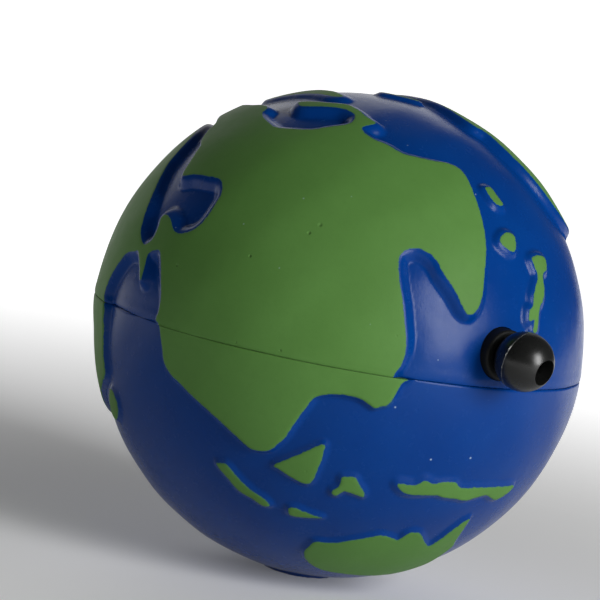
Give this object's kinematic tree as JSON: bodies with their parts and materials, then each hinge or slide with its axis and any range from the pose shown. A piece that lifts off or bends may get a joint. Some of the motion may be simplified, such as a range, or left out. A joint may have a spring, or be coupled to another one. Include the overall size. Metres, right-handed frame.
{
  "type": "stress ball",
  "caption": "Globe-shaped foam stress ball with raised continents and a pull-cord wobble drive inside, whose cord ends in a round bead.",
  "frame": {"origin": "centre of the small flat that the ball stands on", "axes": "+Z is square to the seam between the foam halves and up when the ball stands on its flat; +X is the way the cord pulls out"},
  "size_m": [0.0841, 0.0764, 0.0754],
  "materials": {
    "ocean_foam": "satin skin of moulded foam",
    "black_plastic": "gloss",
    "grey_plastic": "matte",
    "gear_plastic": "satin acetal",
    "drum_plastic": "satin",
    "steel": "ground",
    "spring_steel": "blued strip",
    "cord_nylon": "braided nylon"
  },
  "bodies": {
    "root": {"foam_upper_half": "ocean_foam", "foam_lower_half": "ocean_foam", "case_lower": "grey_plastic", "case_upper": "grey_plastic", "case_screw_1": "steel", "case_screw_2": "steel", "case_screw_3": "steel", "case_screw_4": "steel", "spring_arbor": "steel", "idler_shaft": "steel", "eccentric_shaft": "steel", "cord_guide": "black_plastic", "mainspring": "spring_steel"},
    "drum": {"cord_drum": "drum_plastic", "barrel_cover": "drum_plastic", "cord_winding": "cord_nylon"},
    "first_pawl": {"pawl_1": "gear_plastic"},
    "second_pawl": {"pawl_2": "gear_plastic"},
    "ratchet": {"ratchet_gear": "gear_plastic"},
    "idler": {"idler_gear": "gear_plastic"},
    "eccentric": {"eccentric_pinion": "gear_plastic", "eccentric_weight": "steel"},
    "cord": {"pull_cord": "cord_nylon", "cord_knot": "cord_nylon"},
    "bead": {"pull_bead": "black_plastic"}
  },
  "joints": [
    {"name": "eccentric_spin", "type": "hinge", "parent": "root", "child": "eccentric", "pos_m": [0.00437, 0.0085, 0.0372], "axis": [0, 0, 1], "range_deg": [-16200, 0]},
    {"name": "drum_spin", "type": "hinge", "parent": "root", "child": "drum", "pos_m": [-0.004, -0.0088, 0.0422], "axis": [0, 0, 1], "range_deg": [-1800.1, 0], "stiffness_Nm_per_rad": 0.0008, "springref_deg": 720.21, "deforming": ["mainspring"]},
    {"name": "ratchet_gear_spin", "type": "hinge", "parent": "root", "child": "ratchet", "pos_m": [-0.004, -0.0088, 0.0372], "axis": [0, 0, 1], "range_deg": [-1800.1, 0]},
    {"name": "idler_spin", "type": "hinge", "parent": "root", "child": "idler", "pos_m": [-0.00526, 0.00564, 0.0372], "axis": [0, 0, 1], "range_deg": [0, 5400.1]},
    {"name": "cord_pull", "type": "slide", "parent": "root", "child": "cord", "axis": [1, 0, 0], "range_m": [0, 0.27646]},
    {"name": "bead_spin", "type": "hinge", "parent": "cord", "child": "bead", "pos_m": [0.0417, 0, 0.0422], "axis": [0.9602, 0.2041, -0.1908], "continuous": true},
    {"name": "pawl_1_swing", "type": "hinge", "parent": "drum", "child": "first_pawl", "pos_m": [0.001, -0.0088, 0.0372], "axis": [0, 0, 1], "range_deg": [0, 12], "stiffness_Nm_per_rad": 0.0002, "springref_deg": -8.59},
    {"name": "pawl_2_swing", "type": "hinge", "parent": "drum", "child": "second_pawl", "pos_m": [-0.009, -0.0088, 0.0372], "axis": [0, 0, 1], "range_deg": [0, 12], "stiffness_Nm_per_rad": 0.0002, "springref_deg": -8.59}
  ],
  "couplings": [
    {"joint": "drum_spin", "follows": "cord_pull", "rad_per_m": -113.64},
    {"joint": "ratchet_gear_spin", "follows": "cord_pull", "rad_per_m": -113.64},
    {"joint": "idler_spin", "follows": "cord_pull", "rad_per_m": 340.91},
    {"joint": "eccentric_spin", "follows": "cord_pull", "rad_per_m": -1022.7},
    {"joint": "pawl_2_swing", "follows": "pawl_1_swing", "ratio": 1}
  ]
}
